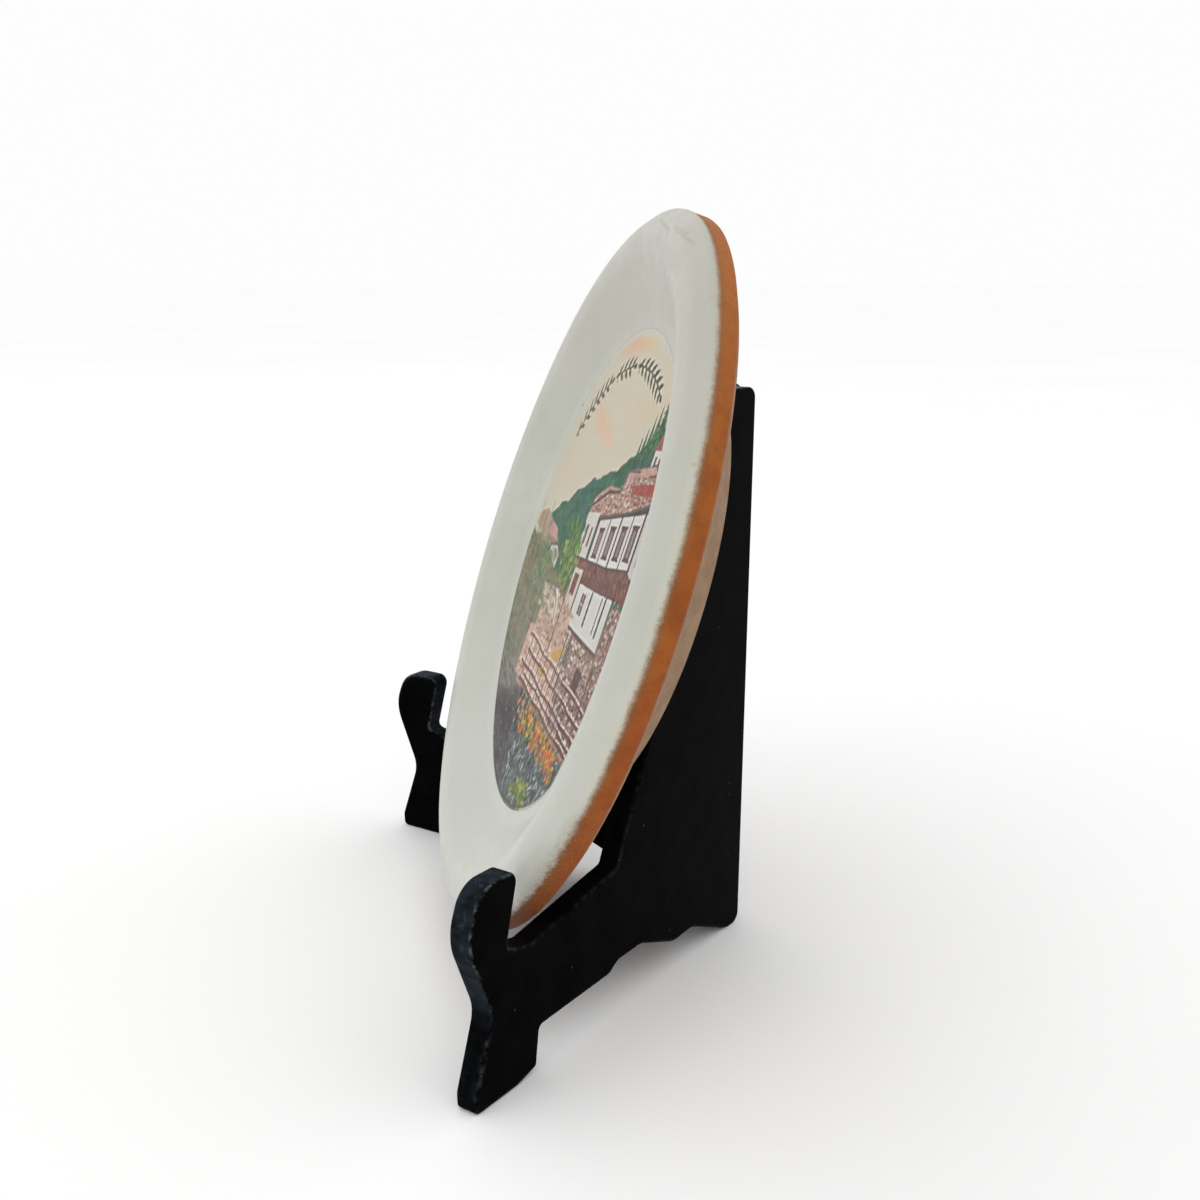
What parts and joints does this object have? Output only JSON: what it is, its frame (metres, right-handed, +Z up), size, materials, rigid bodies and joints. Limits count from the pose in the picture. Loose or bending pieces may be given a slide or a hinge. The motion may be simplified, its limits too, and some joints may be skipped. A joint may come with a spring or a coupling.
{
  "type": "souvenir plate on folding easel",
  "caption": "Round decorative clay plate with a fired picture in its well, leaning on a folding two-wing wooden easel with hinged wings.",
  "frame": {"origin": "floor level, middle of the overall box", "axes": "+Z up, +Y towards the hinged back of the easel, +X to the plate's right as seen from the front; the plate faces -Y"},
  "size_m": [0.2, 0.0936, 0.2041],
  "materials": {
    "plate_clay": "moulded earthenware: satin off-white glaze in front, bare orange clay band round the rim, peach clay slip behind",
    "fired_picture": null,
    "black_lacquer": "thin wood, gloss black lacquer worn along its edges",
    "hinge_brass": "plated sheet brass, slightly tarnished",
    "screw_brass": "brass wood screws"
  },
  "bodies": {
    "right_frame": {"right_wing": "black_lacquer", "upper_right_leaf": "hinge_brass", "lower_right_leaf": "hinge_brass", "upper_hinge_pin": "hinge_brass", "lower_hinge_pin": "hinge_brass", "right_leaf_screws": "screw_brass"},
    "left_frame": {"left_wing": "black_lacquer", "upper_left_leaf": "hinge_brass", "lower_left_leaf": "hinge_brass", "left_leaf_screws": "screw_brass"},
    "plate": {"plate_body": "plate_clay", "picture_disc": "fired_picture"}
  },
  "joints": [
    {"name": "plate_lift", "type": "slide", "parent": "right_frame", "child": "plate", "axis": [0, 0, 1], "range_m": [0, 0.3]},
    {"name": "stand_fold", "type": "hinge", "parent": "right_frame", "child": "left_frame", "pos_m": [0, 0.0432, 0.08], "axis": [0, 0, 1], "range_deg": [0, 88]}
  ],
  "couplings": [
    {"joint": "stand_fold", "follows": "plate_lift", "rad_per_m": 5.1}
  ]
}
